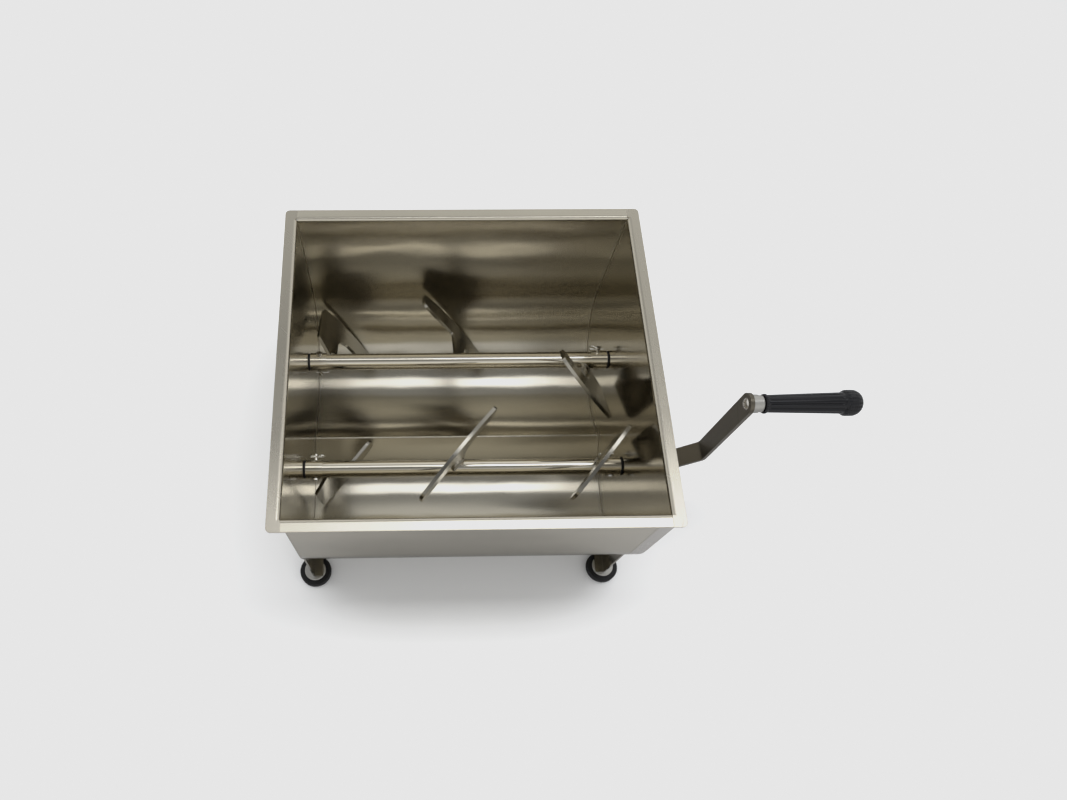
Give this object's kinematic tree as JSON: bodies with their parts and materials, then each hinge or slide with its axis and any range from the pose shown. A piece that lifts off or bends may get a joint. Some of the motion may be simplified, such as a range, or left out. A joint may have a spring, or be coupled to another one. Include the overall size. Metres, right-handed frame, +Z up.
{
  "type": "manual meat mixer",
  "caption": "Hand-cranked stainless meat mixer: open tub with a double round bottom, geared agitators with slanted paddles, cranked handle and rubber feet.",
  "frame": {"origin": "on the floor below the middle of the machine's bounding box, midway between its two shafts", "axes": "+X along the shafts towards the crank, +Y to the back, +Z up"},
  "size_m": [0.587, 0.377, 0.324],
  "materials": {
    "trough": "brushed stainless",
    "end_plates": "polished stainless",
    "gear_case": "brushed stainless",
    "shafts": "bright stainless tube",
    "paddles": "ground stainless plate",
    "steel": "stainless",
    "gears": "cut steel, oiled",
    "zinc": "bright zinc",
    "crank_arm": "dark ground steel",
    "grip": "glossy ribbed black",
    "bush": "black nylon",
    "rubber": "black rubber"
  },
  "bodies": {
    "tub": {"back_case_bush": "bush", "back_left_bush": "bush", "back_left_foot_disc": "zinc", "back_left_foot_screw": "steel", "back_left_rubber_foot": "rubber", "back_right_bush": "bush", "back_right_foot_disc": "zinc", "back_right_foot_screw": "steel", "back_right_rubber_foot": "rubber", "case_screw_1": "steel", "case_screw_2": "steel", "case_screw_3": "steel", "case_screw_4": "steel", "front_case_bush": "bush", "front_left_bush": "bush", "front_left_foot_disc": "zinc", "front_left_foot_screw": "steel", "front_left_rubber_foot": "rubber", "front_right_bush": "bush", "front_right_foot_disc": "zinc", "front_right_foot_screw": "steel", "front_right_rubber_foot": "rubber", "gear_case": "gear_case", "left_end_plate": "end_plates", "right_end_plate": "end_plates", "trough": "trough"},
    "front_agitator": {"crank_arm": "crank_arm", "crank_hub": "steel", "crank_nut": "steel", "crank_washer": "steel", "front_gear": "gears", "front_gear_key": "gears", "front_geared_axle": "steel", "front_headed_axle": "steel", "front_left_clip": "steel", "front_left_paddle": "paddles", "front_left_pin": "steel", "front_middle_paddle": "paddles", "front_right_clip": "steel", "front_right_paddle": "paddles", "front_right_pin": "steel", "front_shaft_tube": "shafts", "grip_ferrule": "zinc", "grip_spindle": "steel", "hub_grub_screw": "steel"},
    "back_agitator": {"back_gear": "gears", "back_gear_key": "gears", "back_geared_axle": "steel", "back_headed_axle": "steel", "back_left_clip": "steel", "back_left_paddle": "paddles", "back_left_pin": "steel", "back_middle_paddle": "paddles", "back_retaining_ring": "steel", "back_right_clip": "steel", "back_right_paddle": "paddles", "back_right_pin": "steel", "back_shaft_tube": "shafts"},
    "grip": {"grip": "grip"}
  },
  "joints": [
    {"name": "front_shaft_turn", "type": "hinge", "parent": "tub", "child": "front_agitator", "pos_m": [-0.08597, -0.072, 0.141], "axis": [1, 0, 0], "continuous": true},
    {"name": "back_shaft_turn", "type": "hinge", "parent": "tub", "child": "back_agitator", "pos_m": [-0.08597, 0.072, 0.141], "axis": [1, 0, 0], "continuous": true},
    {"name": "grip_turn", "type": "hinge", "parent": "front_agitator", "child": "grip", "pos_m": [0.24403, -0.072, 0.311], "axis": [1, 0, 0], "continuous": true}
  ],
  "couplings": [
    {"joint": "back_shaft_turn", "follows": "front_shaft_turn", "ratio": -1}
  ]
}
